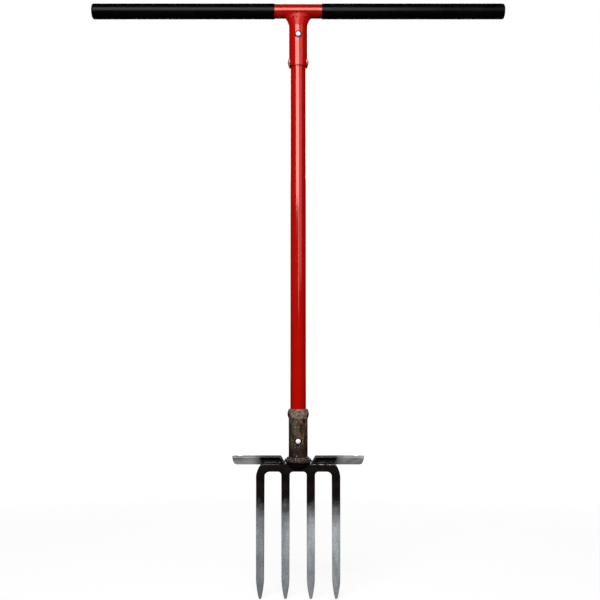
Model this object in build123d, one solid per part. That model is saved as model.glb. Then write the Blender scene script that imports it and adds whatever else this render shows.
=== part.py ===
from build123d import *
import math
import os

# Lawn aerator fork: a T-handle on a tubular shaft over a forged four-tine head with foot plates.
# Millimetres, +Z up. The origin is on the shaft axis at the level of the tine tips.
# The tines stand side by side along X, and -Y is the front.

# ---- driving dimensions ----
# heights above the tine tips
CROSSHEAD_TOP_Z = 252.4
CROSSBAR_Z = 1130.8

# T-handle
CROSSBAR_DIA = 28.0
CROSSBAR_WALL = 2.0
CROSSBAR_LENGTH = 800.0
CROSSBAR_BARE_LENGTH = 92.5
GRIP_WALL = 1.0
GRIP_END_WALL = 3.0
GRIP_END_ROUND = 3.5
GRIP_FIT = 0.05

# shaft and its two sockets
SHAFT_DIA = 30.0
SHAFT_WALL = 2.0
SOCKET_WALL = 3.0
SOCKET_FIT = 0.2
SHAFT_INSERT = 78.0
HANDLE_SOCKET_LENGTH = 97.0
HEAD_SOCKET_LENGTH = 104.2

# weld between the handle socket and the crossbar
HANDLE_WELD_RISE = 18.0
HANDLE_WELD_SPREAD = 7.0
HANDLE_WELD_BULGE = 1.0
HANDLE_WELD_EDGE = 0.1
SADDLE_DEPTH = 2.5
SADDLE_CAP_HEIGHT = 3.8
SADDLE_TOE_Y = 10.0
SADDLE_TOE_X = 20.0

# rivets
SIDE_RIVET_FROM_MOUTH = 9.5
SIDE_RIVET_SHANK = 8.0
SIDE_RIVET_HEAD_DIA = 17.0
SIDE_RIVET_HEAD_RISE = 2.3
FRONT_RIVET_FROM_MOUTH = 60.0
FRONT_RIVET_SHANK = 6.0
FRONT_RIVET_HEAD_DIA = 9.4
FRONT_RIVET_HEAD_RISE = 3.0
RIVET_HOLE_FIT = 0.1
WASHER_DIA = 13.0
WASHER_THICKNESS = 1.0

# socket foot
FLANGE_DIA = 53.0
FLANGE_FOOT_DIA = 43.0
FLANGE_THICKNESS = 7.0
FLANGE_LAND = 1.5
FLANGE_EDGE_ROUND = 0.7
FLANGE_FIT = 0.1
SOCKET_WELD_LEG = 7.0
SOCKET_WELD_CROWN = 1.2

# forged fork head
TINE_COUNT = 4
TINE_PITCH = 48.0
TINE_ROOT_WIDTH = 16.0
TINE_LOW_WIDTH = 15.0
TINE_TIP_WIDTH = 4.4
TINE_TIP_LENGTH = 36.0
TINE_TIP_BELLY = 0.9
CROSSHEAD_HEIGHT = 13.8
CROSSHEAD_THICKNESS = 18.0
TINE_ROOT_THICKNESS = 11.5
TINE_LOW_THICKNESS = 8.5
TINE_TIP_THICKNESS = 3.8
ROOT_BLEND_HEIGHT = 24.0
SHOULDER_RADIUS = 37.0
SHOULDER_DROP = 25.3
OUTER_CROTCH_RADIUS = 10.0
INNER_CROTCH_RADIUS = 6.5
EDGE_BEVEL = 1.2
TIP_BEVEL = 0.6
BOSS_INSET = 1.0
BOSS_DEPTH = 11.0

# foot plates
TREAD_SPAN = 251.0
TREAD_OVERHANG = 1.5
TREAD_HEIGHT = 15.7
TREAD_SHEET = 2.5
TREAD_BEND_RADIUS = 3.2
TREAD_FLANGE_GAP = 2.5
TREAD_TAB_LEAN = 9.0
TREAD_NOTCH_INSET = 3.3
TREAD_NOTCH_SLANT = 8.0
TREAD_END_LEAN = 4.0
TREAD_END_ROUND = 7.5
TREAD_LIP_RUN = 10.4
TREAD_LIP_DROP = 0.8
RELIEF_WIDTH = 8.6
RELIEF_DEPTH = 6.0
TREAD_WELD_LEG = 5.0
TREAD_WELD_CROWN = 0.8
TREAD_WELD_START = 6.5

# ---- derived places ----
CROSSBAR_UNDERSIDE_Z = CROSSBAR_Z - CROSSBAR_DIA / 2
GRIP_LENGTH = (CROSSBAR_LENGTH - CROSSBAR_BARE_LENGTH) / 2 + GRIP_END_WALL
GRIP_END_X = CROSSBAR_LENGTH / 2 + GRIP_END_WALL
SHAFT_RADIUS = SHAFT_DIA / 2
SOCKET_BORE_RADIUS = SHAFT_RADIUS + SOCKET_FIT
SOCKET_RADIUS = SOCKET_BORE_RADIUS + SOCKET_WALL
HANDLE_SOCKET_TOP_Z = CROSSBAR_UNDERSIDE_Z + SADDLE_DEPTH
HANDLE_SOCKET_MOUTH_Z = CROSSBAR_UNDERSIDE_Z - HANDLE_SOCKET_LENGTH
HEAD_SOCKET_MOUTH_Z = CROSSHEAD_TOP_Z + HEAD_SOCKET_LENGTH
HANDLE_SIDE_RIVET_Z = HANDLE_SOCKET_MOUTH_Z + SIDE_RIVET_FROM_MOUTH
HANDLE_FRONT_RIVET_Z = HANDLE_SOCKET_MOUTH_Z + FRONT_RIVET_FROM_MOUTH
HEAD_SIDE_RIVET_Z = HEAD_SOCKET_MOUTH_Z - SIDE_RIVET_FROM_MOUTH
HEAD_FRONT_RIVET_Z = HEAD_SOCKET_MOUTH_Z - FRONT_RIVET_FROM_MOUTH
FLANGE_TOP_Z = CROSSHEAD_TOP_Z + FLANGE_THICKNESS
CROSSHEAD_UNDERSIDE_Z = CROSSHEAD_TOP_Z - CROSSHEAD_HEIGHT
HEAD_WIDTH = TINE_PITCH * (TINE_COUNT - 1) + TINE_ROOT_WIDTH
BLEND_FOOT_Z = CROSSHEAD_UNDERSIDE_Z - ROOT_BLEND_HEIGHT
TINE_CENTRES = [TINE_PITCH * (n - (TINE_COUNT - 1) / 2) for n in range(TINE_COUNT)]
SHOULDER_RUN = SHOULDER_RADIUS - math.sqrt(SHOULDER_RADIUS**2 - SHOULDER_DROP**2)
CROSSHEAD_FLAT_END_X = HEAD_WIDTH / 2 - SHOULDER_RUN
BOSS_RADIUS = FLANGE_FOOT_DIA / 2 - BOSS_INSET
TREAD_DEPTH = CROSSHEAD_THICKNESS + 2 * TREAD_OVERHANG
TREAD_TOP_Z = CROSSHEAD_TOP_Z + TREAD_HEIGHT
TREAD_END_X = TREAD_SPAN / 2
TREAD_TAB_FOOT_X = FLANGE_FOOT_DIA / 2 + TREAD_FLANGE_GAP
TREAD_TAB_TOP_X = TREAD_TAB_FOOT_X + TREAD_TAB_LEAN
TREAD_NOTCH_FOOT_X = CROSSHEAD_FLAT_END_X - TREAD_NOTCH_INSET
TREAD_WELD_START_X = TREAD_TAB_FOOT_X + TREAD_WELD_START
FLARE_STEPS = [0, 0.5, 0.8, 1]  # levels of the saddle weld's flare, as shares of its rise
CLEAR = 2.0  # how far a cutting shape runs past what it cuts
NEAR = 0.01  # how closely two places agree when one is picked by its position
ON_FOOT = (Align.CENTER, Align.CENTER, Align.MIN)


def tube(outer_radius, inner_radius, low_z, high_z):
    """Round tube on the Z axis between two heights."""
    ring = Circle(outer_radius) - Circle(inner_radius)
    return Pos(0, 0, low_z) * extrude(ring, high_z - low_z)


def along_x(shape):
    """Lays a shape made on the Z axis onto the crossbar's axis."""
    return Pos(0, 0, CROSSBAR_Z) * Rot(0, 90, 0) * shape


def cross_hole(diameter, height, turn):
    """Cutter for a rivet hole through the shaft axis: along Y at turn 0, along X at turn 90."""
    reach = 2 * (SOCKET_RADIUS + CLEAR)
    cutter = Rot(90, 0, 0) * Cylinder(diameter / 2 + RIVET_HOLE_FIT, reach)
    return Pos(0, 0, height) * Rot(0, 0, turn) * cutter


# ---- T-handle ----
def crossbar_tube():
    """Steel tube across the top, one length from grip end to grip end."""
    radius = CROSSBAR_DIA / 2
    half = CROSSBAR_LENGTH / 2
    return along_x(tube(radius, radius - CROSSBAR_WALL, -half, half))


def right_grip():
    """Slip-on sleeve with a closed, rounded outer end."""
    bore = CROSSBAR_DIA / 2 + GRIP_FIT
    outer = Pos(0, 0, GRIP_END_X - GRIP_LENGTH / 2) * Cylinder(bore + GRIP_WALL, GRIP_LENGTH)
    outer = fillet(outer.edges().group_by(Axis.Z)[-1], GRIP_END_ROUND)
    inside_length = GRIP_LENGTH - GRIP_END_WALL + CLEAR
    inside = Pos(0, 0, CROSSBAR_LENGTH / 2 - inside_length / 2) * Cylinder(bore, inside_length)
    return along_x(outer - inside)


def handle_socket():
    """Stub tube coped round the underside of the crossbar."""
    stub = tube(SOCKET_RADIUS, SOCKET_BORE_RADIUS, HANDLE_SOCKET_MOUTH_Z, HANDLE_SOCKET_TOP_Z)
    stub -= along_x(Cylinder(CROSSBAR_DIA / 2, 4 * SOCKET_RADIUS))
    stub -= cross_hole(SIDE_RIVET_SHANK, HANDLE_SIDE_RIVET_Z, 90)
    return stub - cross_hole(FRONT_RIVET_SHANK, HANDLE_FRONT_RIVET_Z, 0)


def saddle_section(step):
    """Level section of the flare, from the stub's skin at step 0 to full spread at step 1."""
    half_x = SOCKET_RADIUS + HANDLE_WELD_EDGE + HANDLE_WELD_SPREAD * step**2
    half_y = SOCKET_RADIUS + HANDLE_WELD_EDGE + HANDLE_WELD_BULGE * step
    z = CROSSBAR_UNDERSIDE_Z - HANDLE_WELD_RISE * (1 - step)
    return Pos(0, 0, z) * Ellipse(half_x, half_y)


def handle_weld():
    """Saddle weld: it flares along the crossbar, hugs the stub front and back, and closes the cope."""
    band_foot = saddle_section(1)
    band_top = Pos(0, 0, SADDLE_DEPTH) * band_foot
    toe = Pos(0, 0, HANDLE_SOCKET_TOP_Z + SADDLE_CAP_HEIGHT) * Ellipse(SADDLE_TOE_X, SADDLE_TOE_Y)
    weld = loft([saddle_section(step) for step in FLARE_STEPS])
    weld += loft([band_foot, band_top], ruled=True)
    weld += loft([band_top, toe], ruled=True)
    low_z = CROSSBAR_UNDERSIDE_Z - HANDLE_WELD_RISE - CLEAR
    stub = Cylinder(SOCKET_RADIUS, HANDLE_SOCKET_TOP_Z - low_z, align=ON_FOOT)
    return weld - Pos(0, 0, low_z) * stub - along_x(Cylinder(CROSSBAR_DIA / 2, 4 * SOCKET_RADIUS))


# ---- shaft ----
def shaft_tube():
    """Long tube between the two sockets, drilled for its four rivets."""
    low_z = HEAD_SOCKET_MOUTH_Z - SHAFT_INSERT
    high_z = HANDLE_SOCKET_MOUTH_Z + SHAFT_INSERT
    shaft = tube(SHAFT_RADIUS, SHAFT_RADIUS - SHAFT_WALL, low_z, high_z)
    for height in (HANDLE_SIDE_RIVET_Z, HEAD_SIDE_RIVET_Z):
        shaft -= cross_hole(SIDE_RIVET_SHANK, height, 90)
    for height in (HANDLE_FRONT_RIVET_Z, HEAD_FRONT_RIVET_Z):
        shaft -= cross_hole(FRONT_RIVET_SHANK, height, 0)
    return shaft


# ---- rivets ----
def domed_head(diameter, rise, seat_radius):
    """Spherical head on the front of a round seat; its underside is curved to the seat."""
    radius = diameter / 2
    sphere_radius = (radius**2 + rise**2) / (2 * rise)
    skirt = seat_radius - math.sqrt(seat_radius**2 - radius**2) + CLEAR
    cap = Pos(0, 0, seat_radius + rise - sphere_radius) * Sphere(sphere_radius)
    cap &= Pos(0, 0, seat_radius + rise / 2) * Cylinder(radius, rise)
    cap += Pos(0, 0, seat_radius - skirt / 2) * Cylinder(radius, skirt)
    return Rot(90, 0, 0) * cap - Cylinder(seat_radius, 2 * diameter)


def rivet(shank, head_diameter, rise, seat_radius, height, turn):
    """Solid rivet through the shaft axis with a domed head at each end."""
    head = domed_head(head_diameter, rise, seat_radius)
    body = Rot(90, 0, 0) * Cylinder(shank / 2, 2 * seat_radius + rise)
    body += head + Rot(0, 0, 180) * head
    return Pos(0, 0, height) * Rot(0, 0, turn) * body


def side_rivet(height):
    """Flat-domed rivet across the socket mouth, seated on the socket itself."""
    return rivet(SIDE_RIVET_SHANK, SIDE_RIVET_HEAD_DIA, SIDE_RIVET_HEAD_RISE, SOCKET_RADIUS, height, 90)


def front_rivet(height):
    """Small round-headed rivet from front to back, seated on its two washers."""
    seat_radius = SOCKET_RADIUS + WASHER_THICKNESS
    return rivet(FRONT_RIVET_SHANK, FRONT_RIVET_HEAD_DIA, FRONT_RIVET_HEAD_RISE, seat_radius, height, 0)


def washer_pair(height):
    """Two washers curved to the socket, one under each head of the front rivet."""
    hole = FRONT_RIVET_SHANK / 2 + RIVET_HOLE_FIT
    blank = Cylinder(WASHER_DIA / 2, 4 * SOCKET_RADIUS) - Cylinder(hole, 4 * SOCKET_RADIUS)
    shell = tube(SOCKET_RADIUS + WASHER_THICKNESS, SOCKET_RADIUS, -WASHER_DIA, WASHER_DIA)
    return Pos(0, 0, height) * (Rot(90, 0, 0) * blank & shell)


# ---- socket foot ----
def head_socket():
    """Socket tube that stands on the crosshead and takes the foot of the shaft."""
    socket = tube(SOCKET_RADIUS, SOCKET_BORE_RADIUS, CROSSHEAD_TOP_Z, HEAD_SOCKET_MOUTH_Z)
    socket -= cross_hole(SIDE_RIVET_SHANK, HEAD_SIDE_RIVET_Z, 90)
    return socket - cross_hole(FRONT_RIVET_SHANK, HEAD_FRONT_RIVET_Z, 0)


def socket_flange():
    """Dished collar on the crosshead, narrow at its foot, with the socket's foot inside it."""
    bore = SOCKET_RADIUS + FLANGE_FIT
    rim = FLANGE_DIA / 2
    with BuildSketch(Plane.XZ) as section:
        with BuildLine():
            Polyline(
                (bore, CROSSHEAD_TOP_Z),
                (FLANGE_FOOT_DIA / 2, CROSSHEAD_TOP_Z),
                (rim, FLANGE_TOP_Z - FLANGE_LAND),
                (rim, FLANGE_TOP_Z),
                (bore, FLANGE_TOP_Z),
                close=True,
            )
        make_face()
        rim_corners = section.vertices().group_by(Axis.X)[-1]
        fillet(rim_corners, FLANGE_EDGE_ROUND)
    return revolve(section.sketch, Axis.Z)


def socket_weld():
    """Two weld passes between the socket and the collar's top."""
    reach = FLANGE_DIA / 2 - FLANGE_EDGE_ROUND - SOCKET_RADIUS
    foot = (SOCKET_RADIUS + reach, FLANGE_TOP_Z)
    middle = (SOCKET_RADIUS + reach / 2, FLANGE_TOP_Z + SOCKET_WELD_LEG / 2)
    top = (SOCKET_RADIUS, FLANGE_TOP_Z + SOCKET_WELD_LEG)
    with BuildSketch(Plane.XZ) as section:
        with BuildLine():
            SagittaArc(foot, middle, -SOCKET_WELD_CROWN)
            SagittaArc(middle, top, -SOCKET_WELD_CROWN)
            Polyline(top, (SOCKET_RADIUS, FLANGE_TOP_Z), foot)
        make_face()
    return revolve(section.sketch, Axis.Z)


# ---- forged fork head ----
def tine_face():
    """Front outline of one tine on its own centreline: parallel-sided bar with a rounded point."""
    half_tip = TINE_TIP_WIDTH / 2
    half_low = TINE_LOW_WIDTH / 2
    half_root = TINE_ROOT_WIDTH / 2
    with BuildSketch() as outline:
        with BuildLine():
            SagittaArc((half_tip, 0), (half_low, TINE_TIP_LENGTH), -TINE_TIP_BELLY)
            Line((half_low, TINE_TIP_LENGTH), (half_root, CROSSHEAD_UNDERSIDE_Z))
            Line((half_root, CROSSHEAD_UNDERSIDE_Z), (-half_root, CROSSHEAD_UNDERSIDE_Z))
            Line((-half_root, CROSSHEAD_UNDERSIDE_Z), (-half_low, TINE_TIP_LENGTH))
            SagittaArc((-half_low, TINE_TIP_LENGTH), (-half_tip, 0), -TINE_TIP_BELLY)
            Line((-half_tip, 0), (half_tip, 0))
        make_face()
    return outline.sketch


def crotch_corners(outline, low_x, high_x):
    """Sharp corners under the crosshead that lie between two distances from the middle."""
    level = (CROSSHEAD_UNDERSIDE_Z - NEAR, CROSSHEAD_UNDERSIDE_Z + NEAR)
    corners = outline.vertices().filter_by_position(Axis.Y, *level)
    return [corner for corner in corners if low_x < abs(corner.X) < high_x]


def head_face():
    """Front outline of the head: crosshead with round shoulders, tines and rounded crotches."""
    crosshead = Rectangle(HEAD_WIDTH, CROSSHEAD_HEIGHT, align=(Align.CENTER, Align.MIN))
    outline = Pos(0, CROSSHEAD_UNDERSIDE_Z) * crosshead
    for x in TINE_CENTRES:
        outline += Pos(x, 0) * tine_face()
    shoulder_top = CROSSHEAD_TOP_Z - SHOULDER_DROP + SHOULDER_RADIUS
    blank = Rectangle(HEAD_WIDTH, shoulder_top, align=(Align.CENTER, Align.MIN))
    outline &= fillet(blank.vertices().group_by(Axis.Y)[-1], SHOULDER_RADIUS)
    inside_x = HEAD_WIDTH / 2 - CLEAR
    outer_gap_x = HEAD_WIDTH / 2 - TINE_ROOT_WIDTH - CLEAR
    outline = fillet(crotch_corners(outline, 0, outer_gap_x), INNER_CROTCH_RADIUS)
    return fillet(crotch_corners(outline, outer_gap_x, inside_x), OUTER_CROTCH_RADIUS)


def head_side_face():
    """Side outline of the head: thick crosshead that thins into the tines and their points."""
    levels = [
        (TINE_TIP_THICKNESS / 2, 0),
        (TINE_LOW_THICKNESS / 2, TINE_TIP_LENGTH),
        (TINE_ROOT_THICKNESS / 2, BLEND_FOOT_Z),
    ]
    shoulder = (CROSSHEAD_THICKNESS / 2, CROSSHEAD_UNDERSIDE_Z)
    with BuildSketch() as outline:
        with BuildLine():
            Line((0, 0), levels[0])
            Polyline(*levels)
            Spline(levels[-1], shoulder, tangents=((0, 1), (0, 1)))
            Polyline(shoulder, (shoulder[0], CROSSHEAD_TOP_Z), (0, CROSSHEAD_TOP_Z), (0, 0))
        make_face()
        mirror(about=Plane.YZ)
    return outline.sketch


def bevel_envelope():
    """Square bars on edge around every tine; their flats bevel the four long edges of each tine."""
    sections = [
        (0, TINE_TIP_WIDTH / 2 + TINE_TIP_THICKNESS / 2 - TIP_BEVEL),
        (TINE_TIP_LENGTH, TINE_LOW_WIDTH / 2 + TINE_LOW_THICKNESS / 2 - EDGE_BEVEL),
        (BLEND_FOOT_Z, TINE_ROOT_WIDTH / 2 + TINE_ROOT_THICKNESS / 2 - EDGE_BEVEL),
        (CROSSHEAD_UNDERSIDE_Z, TINE_PITCH),
    ]
    diamonds = [Pos(0, 0, z) * RegularPolygon(reach, 4, rotation=0) for z, reach in sections]
    return loft(diamonds, ruled=True)


def boss():
    """Round dished boss under the socket, half sunk in the crosshead."""
    quarter = Ellipse(BOSS_RADIUS, BOSS_DEPTH) & Rectangle(
        BOSS_RADIUS, BOSS_DEPTH, align=(Align.MIN, Align.MAX)
    )
    return revolve(Pos(0, 0, CROSSHEAD_TOP_Z) * (Plane.XZ * quarter), Axis.Z)


def fork_head():
    """Forging: the front outline cut from a bar with the side outline, bevelled, with a round boss."""
    front = extrude(Plane.XZ * head_face(), CROSSHEAD_THICKNESS, both=True)
    side = extrude(Plane.YZ * head_side_face(), HEAD_WIDTH, both=True)
    blank = front & side
    above = Pos(0, 0, CROSSHEAD_UNDERSIDE_Z) * Box(
        2 * HEAD_WIDTH, 2 * CROSSHEAD_THICKNESS, 2 * CROSSHEAD_HEIGHT, align=ON_FOOT
    )
    head = (blank & above) + boss()
    for x in TINE_CENTRES:
        head += (blank - above) & (Pos(x, 0, 0) * bevel_envelope())
    return head


# ---- foot treads ----
def tread_face():
    """Front outline of the right tread: leaning inner end, flat top, dropped lip at the outer end."""
    with BuildSketch() as outline:
        with BuildLine():
            Polyline(
                (TREAD_TAB_FOOT_X, CROSSHEAD_TOP_Z),
                (TREAD_TAB_TOP_X, TREAD_TOP_Z),
                (TREAD_END_X - TREAD_LIP_RUN, TREAD_TOP_Z),
                (TREAD_END_X, TREAD_TOP_Z - TREAD_LIP_DROP),
                (TREAD_END_X - TREAD_END_LEAN, CROSSHEAD_TOP_Z),
                close=True,
            )
        make_face()
    return outline.sketch


def tread_hollow_face():
    """Front outline of the tread's hollow: the same outline one sheet in, open at the bottom."""
    inset = offset(tread_face(), -TREAD_SHEET, kind=Kind.INTERSECTION)
    foot = inset.edges().sort_by(Axis.Y)[0]
    low_x, high_x = sorted(v.X for v in foot.vertices())
    below = Polygon(
        (low_x, CROSSHEAD_TOP_Z - CLEAR),
        (high_x, CROSSHEAD_TOP_Z - CLEAR),
        (high_x, CROSSHEAD_TOP_Z + TREAD_SHEET),
        (low_x, CROSSHEAD_TOP_Z + TREAD_SHEET),
        align=None,
    )
    return inset + below


def tread_notch():
    """Cutter that takes the front flange away over the crosshead and leaves the top sheet."""
    roof_z = TREAD_TOP_Z - TREAD_SHEET
    floor_z = CROSSHEAD_TOP_Z - CLEAR
    hollow = tread_hollow_face()
    reach = Polygon(
        (0, floor_z),
        (TREAD_NOTCH_FOOT_X, floor_z),
        (TREAD_NOTCH_FOOT_X + TREAD_NOTCH_SLANT, roof_z),
        (0, roof_z),
        align=None,
    )
    return extrude(Plane.XZ * (hollow & reach), TREAD_DEPTH)


def end_relief():
    """Cutter for the bend relief behind the outer end of the tread, open to the back."""
    corner = (Align.MAX, Align.MIN, Align.CENTER)
    block = Box(RELIEF_WIDTH, TREAD_DEPTH, 2 * RELIEF_DEPTH, align=corner)
    return Pos(TREAD_END_X - TREAD_LIP_RUN, -TREAD_DEPTH / 2 + TREAD_BEND_RADIUS, TREAD_TOP_Z) * block


def right_tread():
    """Folded sheet tread: a tray upside down, open below, with its front notched over the crosshead."""
    blank = extrude(Plane.XZ * tread_face(), TREAD_DEPTH / 2, both=True)
    end_edge = blank.edges().filter_by(Axis.Y).group_by(Axis.Z)[0].sort_by(Axis.X)[-1]
    blank = fillet(end_edge, TREAD_END_ROUND)
    top_edges = [edge for edge in blank.edges() if edge.center().Z > TREAD_TOP_Z - TREAD_LIP_DROP]
    bends = [edge for edge in top_edges if on_long_side(edge)]
    blank = fillet(bends, TREAD_BEND_RADIUS)
    hollow = extrude(Plane.XZ * tread_hollow_face(), TREAD_DEPTH / 2 - TREAD_SHEET, both=True)
    return blank - hollow - tread_notch() - end_relief()


def on_long_side(edge):
    """True for an edge that lies in the front or back side of a tread."""
    depth = edge.bounding_box().size.Y
    return depth < NEAR and abs(abs(edge.center().Y) - TREAD_DEPTH / 2) < NEAR


def right_tread_weld():
    """Fillet bead along the foot of the back flange, on top of the crosshead."""
    flange_y = TREAD_DEPTH / 2 - TREAD_SHEET
    with BuildSketch() as bead:
        with BuildLine():
            corner = (flange_y, CROSSHEAD_TOP_Z)
            toe = (flange_y - TREAD_WELD_LEG, CROSSHEAD_TOP_Z)
            crown = (flange_y, CROSSHEAD_TOP_Z + TREAD_WELD_LEG)
            Line(corner, toe)
            SagittaArc(toe, crown, TREAD_WELD_CROWN)
            Line(crown, corner)
        make_face()
    run = extrude(Plane.YZ * bead.sketch, TREAD_NOTCH_FOOT_X - TREAD_WELD_START_X)
    return Pos(TREAD_WELD_START_X, 0, 0) * run


right = {
    "right_grip": right_grip(),
    "right_tread": right_tread(),
    "right_tread_weld": right_tread_weld(),
}
left = {name.replace("right", "left"): mirror(piece, about=Plane.YZ) for name, piece in right.items()}
pieces = {
    "crossbar_tube": crossbar_tube(),
    "handle_socket": handle_socket(),
    "handle_weld": handle_weld(),
    "handle_side_rivet": side_rivet(HANDLE_SIDE_RIVET_Z),
    "handle_front_rivet": front_rivet(HANDLE_FRONT_RIVET_Z),
    "handle_rivet_washers": washer_pair(HANDLE_FRONT_RIVET_Z),
    "shaft_tube": shaft_tube(),
    "head_side_rivet": side_rivet(HEAD_SIDE_RIVET_Z),
    "head_front_rivet": front_rivet(HEAD_FRONT_RIVET_Z),
    "head_rivet_washers": washer_pair(HEAD_FRONT_RIVET_Z),
    "head_socket": head_socket(),
    "socket_flange": socket_flange(),
    "socket_weld": socket_weld(),
    "fork_head": fork_head(),
    **right,
    **left,
}

os.makedirs("parts", exist_ok=True)
for name, piece in pieces.items():
    export_step(piece, f"parts/{name}.step")
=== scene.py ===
# %% [markdown]
# # Lawn aerator fork: finishes and studio
# The construction of the fork comes ready made: every tube, rivet, weld and the forged head is a solid
# in the frame, at its real size and in its real place. This lesson gives those solids their finishes,
# adds the ripples that a welder leaves on a bead, and sets up the studio.

import math
import random

import bmesh
import bpy
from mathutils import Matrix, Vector


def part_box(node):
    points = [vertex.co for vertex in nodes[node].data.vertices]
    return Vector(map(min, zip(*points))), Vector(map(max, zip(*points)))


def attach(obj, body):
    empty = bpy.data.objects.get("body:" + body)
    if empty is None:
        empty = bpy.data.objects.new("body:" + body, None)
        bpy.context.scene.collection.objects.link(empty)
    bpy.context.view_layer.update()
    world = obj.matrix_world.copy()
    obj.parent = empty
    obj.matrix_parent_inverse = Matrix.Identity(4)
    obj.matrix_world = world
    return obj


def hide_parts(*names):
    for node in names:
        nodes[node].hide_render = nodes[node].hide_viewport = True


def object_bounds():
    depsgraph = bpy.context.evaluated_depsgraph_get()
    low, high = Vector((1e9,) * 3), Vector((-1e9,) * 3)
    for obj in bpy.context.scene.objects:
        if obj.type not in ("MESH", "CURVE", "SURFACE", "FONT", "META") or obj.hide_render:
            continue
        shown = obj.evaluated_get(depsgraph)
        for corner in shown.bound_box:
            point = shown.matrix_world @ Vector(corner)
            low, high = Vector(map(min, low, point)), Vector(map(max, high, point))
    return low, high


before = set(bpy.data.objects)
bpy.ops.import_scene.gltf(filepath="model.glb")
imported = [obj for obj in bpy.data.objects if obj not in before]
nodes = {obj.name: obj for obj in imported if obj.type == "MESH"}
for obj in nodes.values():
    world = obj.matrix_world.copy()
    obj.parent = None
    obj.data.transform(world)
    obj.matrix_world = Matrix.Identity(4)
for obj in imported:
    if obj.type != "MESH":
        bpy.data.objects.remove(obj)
cad_low, cad_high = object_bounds()
print("nodes:", len(nodes), "size in m:", [round(v, 3) for v in cad_high - cad_low])

# %% [markdown]
# ## The camera
# The fork is over a metre tall. A camera straight in front, at about the height of the lower shaft and
# tipped slightly up, sees the whole tool: the handle from below and the treads from above. A wide lens
# close by would bend the tool's proportions, and a very long one would hide the undersides, so a 54 mm
# lens on a 36 mm sensor stands 1.7 m away.

# %% Camera
CAMERA_PLACE = (0.0035, -1.7286, 0.4682)
CAMERA_TIP_UP = 3.2
LENS_MM = 54.0
SENSOR_MM = 36.0

camera_data = bpy.data.cameras.new("studio_camera")
camera_data.lens = LENS_MM
camera_data.sensor_width = SENSOR_MM
camera = bpy.data.objects.new("studio_camera", camera_data)
camera.location = CAMERA_PLACE
camera.rotation_euler = (math.radians(90 + CAMERA_TIP_UP), 0, 0)
bpy.context.collection.objects.link(camera)
bpy.context.scene.camera = camera
print("camera at", CAMERA_PLACE, "tipped up", CAMERA_TIP_UP, "degrees")

# %% [markdown]
# ## Small helpers for nodes
# Every finish is a node tree, and a few helpers keep the trees short. The first one places a node and
# fills its inputs. An input is either a plain value or another node's output, which is then linked. The
# others make the kinds of node that come up again and again.

# %% Node helpers
def put(tree, kind, inputs=None, **settings):
    node = tree.nodes.new(kind)
    for name, value in settings.items():
        setattr(node, name, value)
    for key, value in (inputs or {}).items():
        if isinstance(value, bpy.types.NodeSocket):
            tree.links.new(value, node.inputs[key])
        else:
            node.inputs[key].default_value = value
    return node


def maths(tree, operation, a, b=0.0, c=0.0, clamp=False):
    return put(tree, "ShaderNodeMath", {0: a, 1: b, 2: c}, operation=operation, use_clamp=clamp).outputs[0]


def ramp(tree, value, low, high, to_low=0.0, to_high=1.0):
    inputs = {"Value": value, "From Min": low, "From Max": high, "To Min": to_low, "To Max": to_high}
    return put(tree, "ShaderNodeMapRange", inputs, interpolation_type="SMOOTHSTEP").outputs[0]


def noise(tree, place, scale, detail, **more):
    inputs = {"Vector": place, "Scale": scale, "Detail": detail, **more}
    return put(tree, "ShaderNodeTexNoise", inputs).outputs


def blend_colours(tree, mask, a, b, how="MIX"):
    """A where the mask is 0 and b where it is 1."""
    node = put(tree, "ShaderNodeMix", {"Factor": mask}, data_type="RGBA", blend_type=how)
    for socket, value in zip((node.inputs[6], node.inputs[7]), (a, b)):
        if isinstance(value, bpy.types.NodeSocket):
            tree.links.new(value, socket)
        else:
            socket.default_value = (*value, 1.0)
    return node.outputs[2]


print("node helpers ready")


# %% Place helpers
def place_on_fork(tree, stretch=None):
    """Place of the surface point in metres, multiplied by a stretch if there is one."""
    place = put(tree, "ShaderNodeTexCoord").outputs["Object"]
    if stretch is None:
        return place
    return put(tree, "ShaderNodeVectorMath", {0: place, 1: stretch}, operation="MULTIPLY").outputs[0]


def coordinate(tree, axis):
    """One coordinate of the surface point: X is to the right, Y to the back and Z up."""
    return put(tree, "ShaderNodeSeparateXYZ", {0: place_on_fork(tree)}).outputs[axis]


def distance_from_line(tree, x, z):
    """Distance of a surface point from the line that runs front to back through x and z."""
    flat = place_on_fork(tree, (1, 0, 1))
    return put(tree, "ShaderNodeVectorMath", {0: flat, 1: (x, 0, z)}, operation="DISTANCE").outputs["Value"]


print("place helpers ready")


# %% Group and material helpers
def new_group(name, inputs, outputs):
    group = bpy.data.node_groups.new(name, "ShaderNodeTree")
    for socket, kind, value in inputs:
        made = group.interface.new_socket(socket, in_out="INPUT", socket_type="NodeSocket" + kind)
        made.default_value = value
    for socket, kind in outputs:
        group.interface.new_socket(socket, in_out="OUTPUT", socket_type="NodeSocket" + kind)
    start = group.nodes.new("NodeGroupInput").outputs
    end = group.nodes.new("NodeGroupOutput").inputs
    return group, start, end


def use(tree, group, **inputs):
    """Places a group with its own values. A word such as colour_a stands for the input Colour a."""
    node = tree.nodes.new("ShaderNodeGroup")
    node.node_tree = group
    for name, value in inputs.items():
        socket = node.inputs[name.replace("_", " ").capitalize()]
        socket.default_value = (*value, 1.0) if socket.type == "RGBA" else value
    return node.outputs


def new_finish(name, **constants):
    """A new material with its Principled shader. Constants such as Metallic are set on the shader."""
    material = bpy.data.materials.new(name)
    material.use_nodes = True
    tree = material.node_tree
    shader = tree.nodes["Principled BSDF"]
    for socket, value in constants.items():
        shader.inputs[socket.replace("_", " ")].default_value = value
    return material, tree, shader


def set_roughness(tree, shader, mask, smooth, rough):
    tree.links.new(ramp(tree, mask, 0.0, 1.0, smooth, rough), shader.inputs["Roughness"])


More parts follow.
